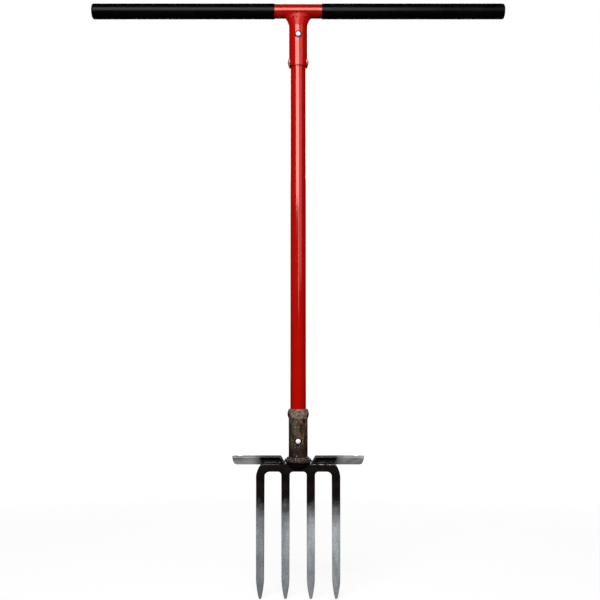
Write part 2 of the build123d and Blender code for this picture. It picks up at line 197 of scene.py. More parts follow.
def set_relief(tree, shader, height, strength, distance):
    bump = put(tree, "ShaderNodeBump", {"Height": height, "Strength": strength, "Distance": distance})
    tree.links.new(bump.outputs[0], shader.inputs["Normal"])


print("group and material helpers ready")

# %% [markdown]
# ## Effects shared by several finishes
# Metal and paint have a few things in common: a fine surface that breaks up reflections, patches of
# slightly different colour, small pale specks, edges that wear first, and zones where the heat of
# welding or forging has changed the colour. Each is a node group, built once. They are driven by object
# coordinates, which here are metres on the real fork, so a scale of 1000 means one cell per mm.

# %% [markdown]
# No real surface is perfectly smooth: paint has orange peel, rubber a grain, ground steel its
# scratches. They could be cut into the mesh, but they are far finer than its faces. A noise at two
# sizes gives a height for a bump, and a stretch along one axis turns its grains into lines.

# %% Group: fine surface
COARSE_FREQUENCY = 0.22


def build_fine_surface():
    """Height of a fine, slightly uneven surface, which may be stretched along one direction."""
    group, given, result = new_group(
        "Fine surface",
        [("Scale", "Float", 900.0), ("Stretch", "Vector", (1.0, 1.0, 1.0)), ("Coarse part", "Float", 0.4)],
        [("Height", "Float")],
    )
    place = place_on_fork(group, given["Stretch"])
    fine = noise(group, place, given["Scale"], 3.0)["Fac"]
    wide_scale = maths(group, "MULTIPLY", given["Scale"], COARSE_FREQUENCY)
    wide = noise(group, place, wide_scale, 2.0)["Fac"]
    share = maths(group, "MULTIPLY", wide, given["Coarse part"])
    group.links.new(maths(group, "ADD", fine, share), result["Height"])
    return group


FINE_SURFACE = build_fine_surface()
print("group:", FINE_SURFACE.name)

# %% [markdown]
# Steel and paint are never one even colour. Two colours could be painted on by hand. A noise that picks
# between them needs no unwrapping, and its mask can change the roughness in the same places.

# %% Group: patches
SOFT_BORDER = 0.22
HARDNESS_TAKES = 0.2


def build_patches():
    """Irregular patches between two colours. Hardness 0 gives soft borders and 1 sharp ones."""
    group, given, result = new_group(
        "Patches",
        [("Scale", "Float", 60.0), ("Stretch", "Vector", (1.0, 1.0, 1.0)), ("Hardness", "Float", 0.3),
         ("Colour a", "Color", (0.1, 0.1, 0.1, 1)), ("Colour b", "Color", (0.2, 0.2, 0.2, 1))],
        [("Colour", "Color"), ("Mask", "Float")],
    )
    place = place_on_fork(group, given["Stretch"])
    cloud = noise(group, place, given["Scale"], 5.0, Roughness=0.62, Distortion=0.6)["Fac"]
    half_border = maths(group, "MULTIPLY_ADD", given["Hardness"], -HARDNESS_TAKES, SOFT_BORDER)
    low = maths(group, "SUBTRACT", 0.5, half_border)
    high = maths(group, "ADD", 0.5, half_border)
    mask = ramp(group, cloud, low, high)
    colour = blend_colours(group, mask, given["Colour a"], given["Colour b"])
    group.links.new(colour, result["Colour"])
    group.links.new(mask, result["Mask"])
    return group


PATCHES = build_patches()
print("group:", PATCHES.name)

# %% [markdown]
# Flaked scale and metal spatter show as small pale specks. A noise gives clouds and not specks, so this
# one uses cells: it keeps a share of them at random and puts a round spot in each. The place is warped
# a little first, so that the spots are not all the same shape.

# %% Group: specks
WARP_SCALE = 300.0
WARP_REACH = 0.004
SPECK_CORE, SPECK_RIM = 0.15, 0.42
CHOICE_SOFTNESS = 0.05


def build_specks():
    """Mask of small scattered specks. Amount is the share of the cells that hold one."""
    group, given, result = new_group(
        "Specks", [("Scale", "Float", 500.0), ("Amount", "Float", 0.3)], [("Mask", "Float")]
    )
    place = place_on_fork(group)
    warp = noise(group, place, WARP_SCALE, 2.0)["Color"]
    inputs = {0: warp, 1: (WARP_REACH,) * 3, 2: place}
    place = put(group, "ShaderNodeVectorMath", inputs, operation="MULTIPLY_ADD").outputs[0]
    inputs = {"Vector": place, "Scale": given["Scale"], "Randomness": 1.0}
    cells = put(group, "ShaderNodeTexVoronoi", inputs).outputs
    chosen = put(group, "ShaderNodeSeparateColor", {0: cells["Color"]}).outputs[0]
    threshold = maths(group, "SUBTRACT", 1.0, given["Amount"])
    kept = ramp(group, chosen, threshold, maths(group, "ADD", threshold, CHOICE_SOFTNESS))
    round_spot = ramp(group, cells["Distance"], SPECK_CORE, SPECK_RIM, 1.0, 0.0)
    group.links.new(maths(group, "MULTIPLY", kept, round_spot), result["Mask"])
    return group


SPECKS = build_specks()
print("group:", SPECKS.name)

# %% [markdown]
# Outer edges lose their scale first. They could be picked out by hand, but a bevel node finds them by
# itself: where its softened normal differs from the true one there is an edge, and a noise leaves gaps
# in it.

# %% Group: worn edges
EDGE_STARTS, EDGE_FULL = 0.995, 0.9
GAPS_SCALE = 220.0
GAPS_FROM, GAPS_TO = 0.36, 0.6


def build_worn_edges():
    """Mask that is 1 on sharp outer edges, broken up a little."""
    group, given, result = new_group(
        "Worn edges", [("Width", "Float", 0.001), ("Amount", "Float", 0.6)], [("Mask", "Float")]
    )
    soft = put(group, "ShaderNodeBevel", {"Radius": given["Width"]}, samples=4).outputs[0]
    true = put(group, "ShaderNodeNewGeometry").outputs["Normal"]
    same = put(group, "ShaderNodeVectorMath", {0: soft, 1: true}, operation="DOT_PRODUCT").outputs["Value"]
    edge = ramp(group, same, EDGE_STARTS, EDGE_FULL)
    broken = noise(group, place_on_fork(group), GAPS_SCALE, 4.0)["Fac"]
    broken = ramp(group, broken, GAPS_FROM, GAPS_TO)
    mask = maths(group, "MULTIPLY", maths(group, "MULTIPLY", edge, broken), given["Amount"])
    group.links.new(mask, result["Mask"])
    return group


WORN_EDGES = build_worn_edges()
print("group:", WORN_EDGES.name)

# %% [markdown]
# Heat and grinding change the steel up to a certain height, and the border is never a clean line. A
# separate material above and below would give a hard border, so this is a mask by height, shifted by a
# noise.

# %% Group: height zone
RAGGED_SCALE = 90.0


def build_height_zone():
    """Mask that goes from 0 below one height to 1 above another, with a ragged border."""
    group, given, result = new_group(
        "Height zone",
        [("Low", "Float", 0.0), ("High", "Float", 1.0), ("Ragged", "Float", 0.005)],
        [("Mask", "Float")],
    )
    height = coordinate(group, "Z")
    waves = noise(group, place_on_fork(group), RAGGED_SCALE, 4.0)["Fac"]
    shift = maths(group, "MULTIPLY", maths(group, "SUBTRACT", waves, 0.5), given["Ragged"])
    height = maths(group, "ADD", height, shift)
    group.links.new(ramp(group, height, given["Low"], given["High"]), result["Mask"])
    return group


HEIGHT_ZONE = build_height_zone()
print("group:", HEIGHT_ZONE.name)

# %% [markdown]
# ## Red gloss paint
# The shaft, the bare middle of the crossbar and the socket under it are painted together, in one coat
# over the weld. Sprayed gloss paint is a saturated colour under a clear, smooth skin with a faint
# orange peel. The peel is a shallow bump, and the roughness changes a little from place to place. A
# clear coat over a duller base would also do, but one layer with a strong, slightly red highlight is
# simpler and gives the same deep gloss. One function makes four versions of it: full gloss on the
# shaft; on the bar a darker red, which is painted shade, with less gloss; duller on the saddle of the
# weld, where paint dries over rough metal; and glossy again on the thin beads at the weld's edge. The
# saddle's foot is smoother, to meet the socket.

# %% Red paint
PAINT_DEEP = (0.39, 0.0030, 0.0010)
PAINT_BRIGHT = (0.45, 0.0038, 0.0014)
PAINT_GLOSS_TINT = (1.0, 0.58, 0.54, 1.0)
SADDLE_FOOT, SADDLE_BODY = 1.098, 1.109


def red_paint(name, depth=1.0, gloss=0.93, peel=0.05, roughness=0.09, smoother_foot=0.0):
    """Depth below 1 darkens the red, a painted shade, and smoother_foot is taken off the roughness at the
    saddle's foot.
    """
    material, tree, shader = new_finish(name, Specular_IOR_Level=gloss, Specular_Tint=PAINT_GLOSS_TINT)
    deep = (PAINT_DEEP[0] * depth, *PAINT_DEEP[1:])
    bright = (PAINT_BRIGHT[0] * depth, *PAINT_BRIGHT[1:])
    tone = use(tree, PATCHES, scale=14.0, hardness=0.0, colour_a=deep, colour_b=bright)
    tree.links.new(tone["Colour"], shader.inputs["Base Color"])
    skin = ramp(tree, tone["Mask"], 0.0, 1.0, roughness - 0.02, roughness + 0.03)
    if smoother_foot:
        above_foot = use(tree, HEIGHT_ZONE, low=SADDLE_FOOT, high=SADDLE_BODY, ragged=0.0)["Mask"]
        skin = maths(tree, "SUBTRACT", skin, ramp(tree, above_foot, 0.0, 1.0, smoother_foot, 0.0))
    tree.links.new(skin, shader.inputs["Roughness"])
    orange_peel = use(tree, FINE_SURFACE, scale=500.0, coarse_part=0.8)["Height"]
    set_relief(tree, shader, orange_peel, strength=peel, distance=0.0004)
    return material


RED_PAINT = red_paint("red_gloss_paint")
# The bar gets a darker copy of the same red: painted shade.
RED_PAINT_SHADED_ON_BAR = red_paint("red_gloss_paint_shaded_on_bar", depth=0.80, gloss=0.78)
RED_PAINT_ON_SADDLE = red_paint(
    "red_gloss_paint_on_saddle", gloss=0.36, peel=0.15, roughness=0.26, smoother_foot=0.12
)
RED_PAINT_ON_TOE = red_paint("red_gloss_paint_on_toe", peel=0.2, roughness=0.10)
print("finishes:", RED_PAINT.name, RED_PAINT_SHADED_ON_BAR.name, RED_PAINT_ON_SADDLE.name, RED_PAINT_ON_TOE.name)

# %% [markdown]
# ## Black grip sleeves
# The sleeves are smooth black rubber, pushed on over the ends of the bar. Rubber could be made with
# sheen, but it is cloth that glows at its rim. Rubber gives a wide, weak highlight, so its gloss is low
# and its skin fairly rough, with a fine grain and a few slightly paler patches.

# %% Grip rubber
RUBBER_BLACK = (0.0008, 0.0008, 0.0009)
RUBBER_DUSTY = (0.0016, 0.0016, 0.0017)


def grip_rubber():
    material, tree, shader = new_finish("black_grip_rubber", Specular_IOR_Level=0.095)
    tone = use(tree, PATCHES, scale=30.0, hardness=0.1, colour_a=RUBBER_BLACK, colour_b=RUBBER_DUSTY)
    tree.links.new(tone["Colour"], shader.inputs["Base Color"])
    set_roughness(tree, shader, tone["Mask"], smooth=0.21, rough=0.28)
    grain = use(tree, FINE_SURFACE, scale=1400.0, coarse_part=0.3)["Height"]
    set_relief(tree, shader, grain, strength=0.12, distance=0.0003)
    return material


GRIP_RUBBER = grip_rubber()
print("finish:", GRIP_RUBBER.name)

# %% [markdown]
# ## Socket steel with its scale
# The lower socket is bare tube with the scale of the mill and of the weld still on it: olive patches to
# the left and brown ones to the right, and pale specks where the scale has flaked. Round the rivet the
# specks are thicker; there they are painted glints of the light on the bright front, and partly chipped
# scale. The paler band at the mouth is painted light, where the lip catches the light from above, on
# steel left bare there. The worn edges are pale, and on the collar's rim they are also a painted
# highlight. The weld's heat has left soot on the foot and on the collar. All this could be painted on a
# sheet and wrapped round the tube, but masks by height, by side and by distance from the rivet stay
# sharp at any distance, and each can be changed alone. They are mixed one over the other. Places are in
# metres. A share is how far a mask may go at most, and what is called bare is how much of the steel
# itself shows, which is the metallic value.

# %% Scaled steel: its colours and heights
OLIVE_DARK, OLIVE_PALE = (0.024, 0.017, 0.012), (0.080, 0.066, 0.038)
BROWN_DARK, BROWN_PALE = (0.020, 0.010, 0.006), (0.135, 0.060, 0.027)
# The paler band at the mouth is painted light, where the lip catches the light from above, on bare steel.
LIT_BAND_DARK, LIT_BAND_PALE = (0.085, 0.058, 0.042), (0.42, 0.35, 0.28)
FOOT_SOOT_COLOUR = (0.010, 0.005, 0.004)
COLLAR_SOOT_COLOUR = (0.0040, 0.0028, 0.0026)
FLAKE_COLOUR = (0.62, 0.46, 0.30)
# Pale worn edges, which on the collar's rim are also a painted highlight.
SOCKET_WEAR_AND_RIM_HIGHLIGHT_COLOUR = (0.46, 0.38, 0.33)
BROWN_FROM, BROWN_TO = -0.012, 0.010
SOOT_ENDS = (0.278, 0.314)
MOUTH_LIT_BAND = (0.3376, 0.3426)
COLLAR_RIM = (0.2550, 0.2575)
# Round the rivet the specks are painted glints of the light, and partly chipped scale.
GLINT_CHIPS_NEAR, GLINT_CHIPS_FAR = 0.007, 0.022
SOOT_SHARE, LIT_BAND_SHARE, FLAKE_SHARE, GLINT_CHIP_SHARE = 0.85, 0.85, 0.8, 0.9
BARE_IN_FLAKES, BARE_IN_EDGES, BARE_IN_LIT_BAND = 0.5, 0.6, 0.35
rivet_low, rivet_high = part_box("head_front_rivet")
RIVET_HEIGHT = (rivet_low.z + rivet_high.z) / 2
print("rivet height:", round(RIVET_HEIGHT, 4))


# %% Scaled steel: its colour
def scaled_colour(tree, browns, lit_band_mask, flakes, worn):
    """Colour of the socket, built up from the patches to the soot."""
    olives = use(
        tree, PATCHES, scale=120.0, stretch=(1, 1, 0.4), hardness=0.6,
        colour_a=OLIVE_DARK, colour_b=OLIVE_PALE,
    )
    side = coordinate(tree, "X")
    colour = blend_colours(tree, ramp(tree, side, BROWN_FROM, BROWN_TO), olives["Colour"], browns)
    above_soot = use(tree, HEIGHT_ZONE, low=SOOT_ENDS[0], high=SOOT_ENDS[1], ragged=0.03)["Mask"]
    sooty = maths(tree, "MULTIPLY", maths(tree, "SUBTRACT", 1.0, above_soot), SOOT_SHARE)
    colour = blend_colours(tree, sooty, colour, FOOT_SOOT_COLOUR)
    # Painted light: the paler band at the mouth.
    lit_band = use(tree, PATCHES, scale=170.0, hardness=0.5, colour_a=LIT_BAND_DARK, colour_b=LIT_BAND_PALE)
    colour = blend_colours(tree, maths(tree, "MULTIPLY", lit_band_mask, LIT_BAND_SHARE), colour, lit_band["Colour"])
    colour = blend_colours(tree, maths(tree, "MULTIPLY", flakes, FLAKE_SHARE), colour, FLAKE_COLOUR)
    # Worn edges, also a painted highlight along the collar's rim.
    colour = blend_colours(tree, worn, colour, SOCKET_WEAR_AND_RIM_HIGHLIGHT_COLOUR)
    above_rim = use(tree, HEIGHT_ZONE, low=COLLAR_RIM[0], high=COLLAR_RIM[1], ragged=0.001)["Mask"]
    return blend_colours(tree, above_rim, COLLAR_SOOT_COLOUR, colour)


def flake_and_glint_mask(tree):
    """Specks where the scale has flaked off, a few everywhere; round the rivet more, which are painted glints
    and partly chipped scale.
    """
    flakes = use(tree, SPECKS, scale=330.0, amount=0.13)["Mask"]
    from_rivet = distance_from_line(tree, 0.0, RIVET_HEIGHT)
    # More specks near the rivet: painted glints, partly chipped scale.
    glints_near_rivet = ramp(tree, from_rivet, GLINT_CHIPS_NEAR, GLINT_CHIPS_FAR, GLINT_CHIP_SHARE, 0.0)
    chips_and_glints = use(tree, SPECKS, scale=520.0, amount=0.5)["Mask"]
    return maths(tree, "MAXIMUM", flakes, maths(tree, "MULTIPLY", chips_and_glints, glints_near_rivet))


print("socket colour ready")


# %% Scaled steel
def scaled_steel():
    material, tree, shader = new_finish("scaled_steel", Specular_IOR_Level=0.25)
    browns = use(
        tree, PATCHES, scale=150.0, stretch=(1, 1, 0.5), hardness=0.7,
        colour_a=BROWN_DARK, colour_b=BROWN_PALE,
    )
    lit_band_mask = use(tree, HEIGHT_ZONE, low=MOUTH_LIT_BAND[0], high=MOUTH_LIT_BAND[1], ragged=0.008)["Mask"]
    flakes = flake_and_glint_mask(tree)
    worn = use(tree, WORN_EDGES, width=0.0012, amount=0.7)["Mask"]
    colour = scaled_colour(tree, browns["Colour"], lit_band_mask, flakes, worn)
    tree.links.new(colour, shader.inputs["Base Color"])
    bare_flakes = maths(tree, "MULTIPLY", flakes, BARE_IN_FLAKES)
    bare_edges = maths(tree, "MULTIPLY", worn, BARE_IN_EDGES)
    bare_band = maths(tree, "MULTIPLY", lit_band_mask, BARE_IN_LIT_BAND)
    bare = maths(tree, "ADD", maths(tree, "MAXIMUM", bare_flakes, bare_edges), bare_band, clamp=True)
    tree.links.new(bare, shader.inputs["Metallic"])
    set_roughness(tree, shader, browns["Mask"], smooth=0.36, rough=0.60)
    grit = use(tree, FINE_SURFACE, scale=650.0, coarse_part=1.2)["Height"]
    set_relief(tree, shader, maths(tree, "ADD", grit, flakes), strength=0.4, distance=0.0006)
    return material


SCALED_STEEL = scaled_steel()
print("finish:", SCALED_STEEL.name)

# %% [markdown]
# ## Forged head
# The head comes out of the fire black. The lower part of the tines is ground or shot-blasted to grey
# steel, and the black scale fades into it over a few centimetres. Grinding leaves fine lines along the
# tines, so the fine surface is stretched along Z. The tips are darker again. The top edges of the
# crosshead carry a painted highlight, a pale broken line, stronger on the right. The head is one solid,
# so one material holds all of this, and the heights decide.

# %% Forged steel: its colours and heights
FORGE_BLACK, FORGE_BROWN = (0.0034, 0.0020, 0.0018), (0.0075, 0.0042, 0.0036)
DULL_DARK, DULL_PALE = (0.285, 0.30, 0.315), (0.43, 0.45, 0.47)
POLISHED_DARK, POLISHED_PALE = (0.46, 0.49, 0.515), (0.69, 0.72, 0.755)
MOTTLE_DARK, MOTTLE_PALE = (0.80, 0.80, 0.80), (1.14, 1.14, 1.14)
GLINT_COLOUR = (0.72, 0.74, 0.78)
# Painted highlight along the crosshead's top edges, pale like rubbed steel.
EDGE_HIGHLIGHT_COLOUR = (0.75, 0.70, 0.66)
POLISHED_FROM, POLISHED_TO = -0.085, 0.055
TIP_FROM, TIP_TO, TIP_DARKNESS = 0.055, 0.100, 0.24
BLACK_FROM, BLACK_TO = 0.114, 0.190
TOP_EDGE = (0.2488, 0.2503)
EDGE_HIGHLIGHT_RIGHT_FROM, EDGE_HIGHLIGHT_RIGHT_TO = 0.020, 0.028
EDGE_HIGHLIGHT_LEFT_FROM, EDGE_HIGHLIGHT_LEFT_TO, EDGE_HIGHLIGHT_LEFT_SHARE = -0.040, -0.034, 0.4
GLINT_SHARE = 0.6
BARE_IN_GROUND_STEEL = 0.45
print("black scale from", BLACK_FROM, "to", BLACK_TO)


# %% Forged steel: its colour
def ground_colour(tree):
    """Grey steel of the tines: duller on the left, more polished on the right, darker at the tips."""
    dull = use(
        tree, PATCHES, scale=85.0, stretch=(1, 1, 0.35), hardness=0.1, colour_a=DULL_DARK, colour_b=DULL_PALE
    )
    polished = use(
        tree, PATCHES, scale=95.0, stretch=(1, 1, 0.3), hardness=0.2,
        colour_a=POLISHED_DARK, colour_b=POLISHED_PALE,
    )
    to_right = ramp(tree, coordinate(tree, "X"), POLISHED_FROM, POLISHED_TO)
    steel = blend_colours(tree, to_right, dull["Colour"], polished["Colour"])
    mottle = use(tree, PATCHES, scale=420.0, hardness=0.5, colour_a=MOTTLE_DARK, colour_b=MOTTLE_PALE)
    steel = blend_colours(tree, 1.0, steel, mottle["Colour"], "MULTIPLY")
    tip = ramp(tree, coordinate(tree, "Z"), TIP_FROM, TIP_TO, TIP_DARKNESS, 0.0)
    return blend_colours(tree, tip, steel, (0.0, 0.0, 0.0))


def edge_highlight_mask(tree):
    """Painted highlight on the top edges of the crosshead under the treads, fainter on the left."""
    side = coordinate(tree, "X")
    right_part = ramp(tree, side, EDGE_HIGHLIGHT_RIGHT_FROM, EDGE_HIGHLIGHT_RIGHT_TO)
    left_part = ramp(tree, side, EDGE_HIGHLIGHT_LEFT_FROM, EDGE_HIGHLIGHT_LEFT_TO, EDGE_HIGHLIGHT_LEFT_SHARE, 0.0)
    top_edge = use(tree, HEIGHT_ZONE, low=TOP_EDGE[0], high=TOP_EDGE[1], ragged=0.001)["Mask"]
    edge_highlight = use(tree, WORN_EDGES, width=0.0024, amount=1.0)["Mask"]
    edge_highlight = maths(tree, "MULTIPLY", edge_highlight, maths(tree, "MAXIMUM", right_part, left_part))
    return maths(tree, "MULTIPLY", edge_highlight, top_edge)


print("head colours ready")


# %% Forged steel
def forged_steel():
    material, tree, shader = new_finish("forged_steel", Specular_IOR_Level=0.09)
    scale_tone = use(tree, PATCHES, scale=70.0, hardness=0.3, colour_a=FORGE_BLACK, colour_b=FORGE_BROWN)
    black = use(tree, HEIGHT_ZONE, low=BLACK_FROM, high=BLACK_TO, ragged=0.04)["Mask"]
    colour = blend_colours(tree, black, ground_colour(tree), scale_tone["Colour"])
    clean = maths(tree, "SUBTRACT", 1.0, black)
    glints = use(tree, SPECKS, scale=420.0, amount=0.10)["Mask"]
    glints = maths(tree, "MULTIPLY", glints, maths(tree, "MULTIPLY", clean, GLINT_SHARE))
    colour = blend_colours(tree, glints, colour, GLINT_COLOUR)
    # Painted highlight along the crosshead's top edges.
    colour = blend_colours(tree, edge_highlight_mask(tree), colour, EDGE_HIGHLIGHT_COLOUR)
    tree.links.new(colour, shader.inputs["Base Color"])
    tree.links.new(maths(tree, "MULTIPLY", clean, BARE_IN_GROUND_STEEL), shader.inputs["Metallic"])
    set_roughness(tree, shader, black, smooth=0.44, rough=0.50)
    lines = use(tree, FINE_SURFACE, scale=900.0, stretch=(1, 1, 0.12), coarse_part=0.5)["Height"]
    grit = use(tree, FINE_SURFACE, scale=420.0, coarse_part=1.0)["Height"]
    set_relief(tree, shader, maths(tree, "ADD", lines, grit), strength=0.3, distance=0.0006)
    return material


FORGED_STEEL = forged_steel()
print("finish:", FORGED_STEEL.name)

# %% [markdown]
# ## Treads
# The treads are folded from plain sheet, so their grey is more even, with the rolling lines along them.
# The heat of the weld has darkened the inner end. A second material there would end in a line, so a
# mask by distance from the shaft blends it in.

# %% Tread steel
TREAD_DARK, TREAD_PALE = (0.16, 0.157, 0.162), (0.31, 0.307, 0.315)
TREAD_HEAT_COLOUR = (0.0032, 0.0022, 0.0022)
TREAD_WORN_COLOUR = (0.36, 0.35, 0.34)
HEAT_FULL, HEAT_ENDS = 0.066, 0.092
BARE_IN_TREAD = 0.5


def tread_steel():
    material, tree, shader = new_finish("tread_steel", Specular_IOR_Level=0.3)
    from_shaft = maths(tree, "ABSOLUTE", coordinate(tree, "X"))
    tone = use(
        tree, PATCHES, scale=60.0, stretch=(0.3, 1, 1), hardness=0.2, colour_a=TREAD_DARK, colour_b=TREAD_PALE
    )
    heat = ramp(tree, from_shaft, HEAT_FULL, HEAT_ENDS, 1.0, 0.0)
    colour = blend_colours(tree, heat, tone["Colour"], TREAD_HEAT_COLOUR)
    worn = use(tree, WORN_EDGES, width=0.001, amount=0.5)["Mask"]
    colour = blend_colours(tree, worn, colour, TREAD_WORN_COLOUR)
    tree.links.new(colour, shader.inputs["Base Color"])
    bare = maths(tree, "MULTIPLY", maths(tree, "SUBTRACT", 1.0, heat), BARE_IN_TREAD)
    tree.links.new(bare, shader.inputs["Metallic"])
    set_roughness(tree, shader, tone["Mask"], smooth=0.42, rough=0.52)
    lines = use(tree, FINE_SURFACE, scale=800.0, stretch=(0.15, 1, 1), coarse_part=0.5)["Height"]
    set_relief(tree, shader, lines, strength=0.2, distance=0.0004)
    return material


TREAD_STEEL = tread_steel()
print("finish:", TREAD_STEEL.name)

# %% [markdown]
# ## Weld metal, rivets and washers
# Bare weld metal is dark with brown and bright flecks, and greyer inside the treads. The front rivets'
# heads are near-white, a painted highlight for the light their zinc domes reflect, on dark washers. The
# rivet across the lower socket is stained dark red. The upper one is pale zinc with a red tint that is a
# painted reflection of the red paint round it. These pieces are small, so one function with few values
# serves them all.

# %% Small metal finishes
def plain_metal(
    name, colour_a, colour_b, metallic, roughness, fleck_amount=0.0, grit=0.2, gloss=0.3, flecks=FLAKE_COLOUR
):
    material, tree, shader = new_finish(name, Metallic=metallic, Specular_IOR_Level=gloss)
    tone = use(tree, PATCHES, scale=180.0, hardness=0.5, colour_a=colour_a, colour_b=colour_b)
    flecked = use(tree, SPECKS, scale=450.0, amount=fleck_amount)["Mask"]
    colour = blend_colours(tree, flecked, tone["Colour"], flecks)
    tree.links.new(colour, shader.inputs["Base Color"])
    set_roughness(tree, shader, tone["Mask"], smooth=roughness - 0.05, rough=roughness + 0.07)
    surface = use(tree, FINE_SURFACE, scale=900.0, coarse_part=0.8)["Height"]
    set_relief(tree, shader, surface, strength=grit, distance=0.0004)
    return material


TREAD_FLECK_COLOUR = (0.34, 0.30, 0.27)
WELD_METAL = plain_metal(
    "weld_metal", (0.016, 0.010, 0.008), (0.15, 0.11, 0.09),
    metallic=0.6, roughness=0.36, fleck_amount=0.2, grit=0.4,
)
TREAD_WELD_METAL = plain_metal(
    "tread_weld_metal", (0.010, 0.008, 0.007), (0.075, 0.064, 0.058),
    metallic=0.4, roughness=0.42, fleck_amount=0.12, grit=0.4, flecks=TREAD_FLECK_COLOUR,
)
# Near-white heads: a painted highlight for the light a zinc dome reflects.
RIVET_PAINTED_HIGHLIGHT = plain_metal(
    "bright_rivet", (0.94, 0.92, 0.90), (0.97, 0.96, 0.95), metallic=0.0, roughness=0.30, grit=0.05
)
AGED_RIVET = plain_metal(
    "aged_rivet", (0.05, 0.003, 0.004), (0.11, 0.006, 0.007), metallic=0.1, roughness=0.35
)
# Pale zinc with a red tint: a painted reflection of the red paint round it.
ZINC_RIVET_RED_REFLECTION = plain_metal(
    "painted_rivet", (0.42, 0.16, 0.15), (0.60, 0.40, 0.38), metallic=0.2, roughness=0.34
)
DARK_WASHER = plain_metal(
    "dark_washer", (0.006, 0.002, 0.002), (0.02, 0.004, 0.004), metallic=0.0, roughness=0.50, gloss=0.1
)
SMALL_FINISHES = (WELD_METAL, TREAD_WELD_METAL, RIVET_PAINTED_HIGHLIGHT, AGED_RIVET, ZINC_RIVET_RED_REFLECTION, DARK_WASHER)
print("finishes:", [finish.name for finish in SMALL_FINISHES])

# %% [markdown]
# ## Give the solids their finishes
# Each solid of the construction already has the right shape and place. A copy of it with new materials
# would do too, but then two pieces would stand for one, so only the material in its slot is replaced.

# %% Assign the finishes
FINISH_OF = {
    "crossbar_tube": RED_PAINT_SHADED_ON_BAR,
    "shaft_tube": RED_PAINT,
    "handle_socket": RED_PAINT,
    "handle_weld": RED_PAINT_ON_SADDLE,
    "left_grip": GRIP_RUBBER,
    "right_grip": GRIP_RUBBER,
    "handle_side_rivet": ZINC_RIVET_RED_REFLECTION,
    "handle_front_rivet": RIVET_PAINTED_HIGHLIGHT,
    "handle_rivet_washers": DARK_WASHER,
    "head_side_rivet": AGED_RIVET,
    "head_front_rivet": RIVET_PAINTED_HIGHLIGHT,
    "head_rivet_washers": DARK_WASHER,
    "head_socket": SCALED_STEEL,
    "socket_flange": SCALED_STEEL,
    "socket_weld": WELD_METAL,
    "fork_head": FORGED_STEEL,
    "left_tread": TREAD_STEEL,
    "right_tread": TREAD_STEEL,
    "left_tread_weld": TREAD_WELD_METAL,
    "right_tread_weld": TREAD_WELD_METAL,
}
for name, finish in FINISH_OF.items():
    for slot in nodes[name].material_slots:
        slot.material = finish
print("nodes without a finish:", sorted(set(nodes) - set(FINISH_OF)))

# %% [markdown]
# ## Weld beads
# A hand-laid weld is not a smooth fillet: the pool is moved on a little at a time, and each step
# freezes as a ripple over the one before. A bump in the material would show the ripples only in the
# shading, and the outline would stay smooth. So each bead is a mesh of rings along a path. The ring
# swells at the front of every ripple, and its size wanders a little, from a seed that is the bead's own
# name.

# %% Shape of one ring
RING_POINTS = 12
RIPPLE_STEEPNESS = 5.0
SIZE_WANDER = 0.07


def ripple_swell(distance, pitch, lift):
    """Growth of the bead at a distance along it: a steep front, then a slope down to the next ripple."""
    phase = distance / pitch % 1.0
    return 1.0 + lift * (1.0 - phase) * min(1.0, RIPPLE_STEEPNESS * phase)


def wandering_size(n, count, starts):
    """Slow change of size along the bead: waves that fit a whole number of times into its rings."""
    waves = [math.sin(2 * math.pi * n * (k + 2) / count + start) for k, start in enumerate(starts)]
    return 1.0 + SIZE_WANDER * sum(waves)


def ring_points(centre, ahead, size):
    side = ahead.cross(Vector((0, 0, 1))).normalized()
    up = side.cross(ahead)
    turns = [2 * math.pi * k / RING_POINTS for k in range(RING_POINTS)]
    return [centre + size * (math.cos(a) * side + math.sin(a) * up) for a in turns]


print("points in a ring:", RING_POINTS)


# %% Bead maker
def add_bead(mesh, path, radius, pitch, lift, closed, chance):
    """Adds one bead to a bmesh: rings along the path, joined, with round ends if it is open."""
    count = len(path)
    starts = [chance.uniform(0, 2 * math.pi) for _ in range(3)]
    rings = []
    distance = 0.0
    for n, centre in enumerate(path):
        before = path[n - 1] if closed or n else centre
        after = path[(n + 1) % count] if closed or n < count - 1 else centre
        distance += (centre - before).length
        size = radius * ripple_swell(distance, pitch, lift) * wandering_size(n, count, starts)
        if not closed:
            from_end = min(n + 0.5, count - n - 0.5) * (path[1] - path[0]).length / radius
            size *= math.sqrt(1.0 - max(0.0, 1.0 - from_end) ** 2)
        ahead = (after - before).normalized()
        rings.append([mesh.verts.new(point) for point in ring_points(centre, ahead, size)])
    joined = list(zip(rings, rings[1:] + rings[:1])) if closed else list(zip(rings, rings[1:]))
    for low, high in joined:
        for k in range(RING_POINTS):
            m = (k + 1) % RING_POINTS
            mesh.faces.new((low[k], low[m], high[m], high[k]))
    if not closed:
        mesh.faces.new(reversed(rings[0]))
        mesh.faces.new(rings[-1])


def bead_piece(name, paths, radius, pitch, lift, closed, finish):
    """One piece made of the beads along the given paths."""
    chance = random.Random(name)
    mesh = bmesh.new()
    for path in paths:
        add_bead(mesh, path, radius, pitch, lift, closed, chance)
    bmesh.ops.recalc_face_normals(mesh, faces=mesh.faces)
    data = bpy.data.meshes.new(name)
    mesh.to_mesh(data)
    mesh.free()
    for face in data.polygons:
        face.use_smooth = True
    data.materials.append(finish)
    piece = bpy.data.objects.new(name, data)
    bpy.context.collection.objects.link(piece)
    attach(piece, "root")
    print(name, "faces:", len(data.polygons))
    return piece


print("bead maker ready")

# %% [markdown]
# The weld round the socket's foot is two passes, the upper one lying on the shoulder of the lower. They
# stand for the plain fillet of the construction, and are closed rings, so no start or end shows.

